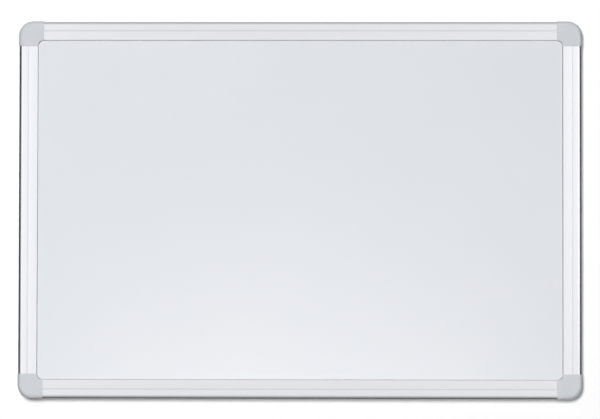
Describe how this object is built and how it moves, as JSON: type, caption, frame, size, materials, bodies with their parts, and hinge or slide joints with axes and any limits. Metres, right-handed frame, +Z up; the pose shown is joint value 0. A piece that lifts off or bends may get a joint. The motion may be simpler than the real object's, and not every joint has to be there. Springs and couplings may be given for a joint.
{
  "type": "magnetic whiteboard",
  "caption": "Wall-hung magnetic whiteboard: lacquered steel writing sheet on a light core, anodised aluminium rail frame, and moulded corners whose push-on covers hide the wall screws.",
  "frame": {"origin": "on the wall plane, behind the middle of the board", "axes": "+X to the right as seen from the front, +Y into the wall, +Z up; the writing side looks towards -Y"},
  "size_m": [0.9028, 0.0214, 0.6058],
  "materials": {
    "lacquered_steel": "gloss",
    "board_core": "matte",
    "galvanised_steel": "satin",
    "anodised_aluminium": "satin",
    "body_plastic": "matte",
    "cover_plastic": "satin",
    "zinc_plated_steel": "satin"
  },
  "bodies": {
    "board": {"writing_sheet": "lacquered_steel", "core_board": "board_core", "back_sheet": "galvanised_steel", "rail_top": "anodised_aluminium", "rail_right": "anodised_aluminium", "rail_bottom": "anodised_aluminium", "rail_left": "anodised_aluminium", "corner_body_top_left": "body_plastic", "corner_body_top_right": "body_plastic", "corner_body_bottom_right": "body_plastic", "corner_body_bottom_left": "body_plastic", "corner_screw_top_left_top_rail": "zinc_plated_steel", "corner_screw_top_right_right_rail": "zinc_plated_steel", "corner_screw_bottom_right_bottom_rail": "zinc_plated_steel", "corner_screw_bottom_left_left_rail": "zinc_plated_steel", "corner_screw_top_left_left_rail": "zinc_plated_steel", "corner_screw_top_right_top_rail": "zinc_plated_steel", "corner_screw_bottom_right_right_rail": "zinc_plated_steel", "corner_screw_bottom_left_bottom_rail": "zinc_plated_steel"},
    "cover_top_left": {"corner_cover_top_left": "cover_plastic"},
    "cover_top_right": {"corner_cover_top_right": "cover_plastic"},
    "cover_bottom_right": {"corner_cover_bottom_right": "cover_plastic"},
    "cover_bottom_left": {"corner_cover_bottom_left": "cover_plastic"}
  },
  "joints": [
    {"name": "cover_top_left_pull_off", "type": "slide", "parent": "board", "child": "cover_top_left", "axis": [0, -1, 0], "range_m": [0, 0.03]},
    {"name": "cover_top_right_pull_off", "type": "slide", "parent": "board", "child": "cover_top_right", "axis": [0, -1, 0], "range_m": [0, 0.03]},
    {"name": "cover_bottom_right_pull_off", "type": "slide", "parent": "board", "child": "cover_bottom_right", "axis": [0, -1, 0], "range_m": [0, 0.03]},
    {"name": "cover_bottom_left_pull_off", "type": "slide", "parent": "board", "child": "cover_bottom_left", "axis": [0, -1, 0], "range_m": [0, 0.03]}
  ]
}
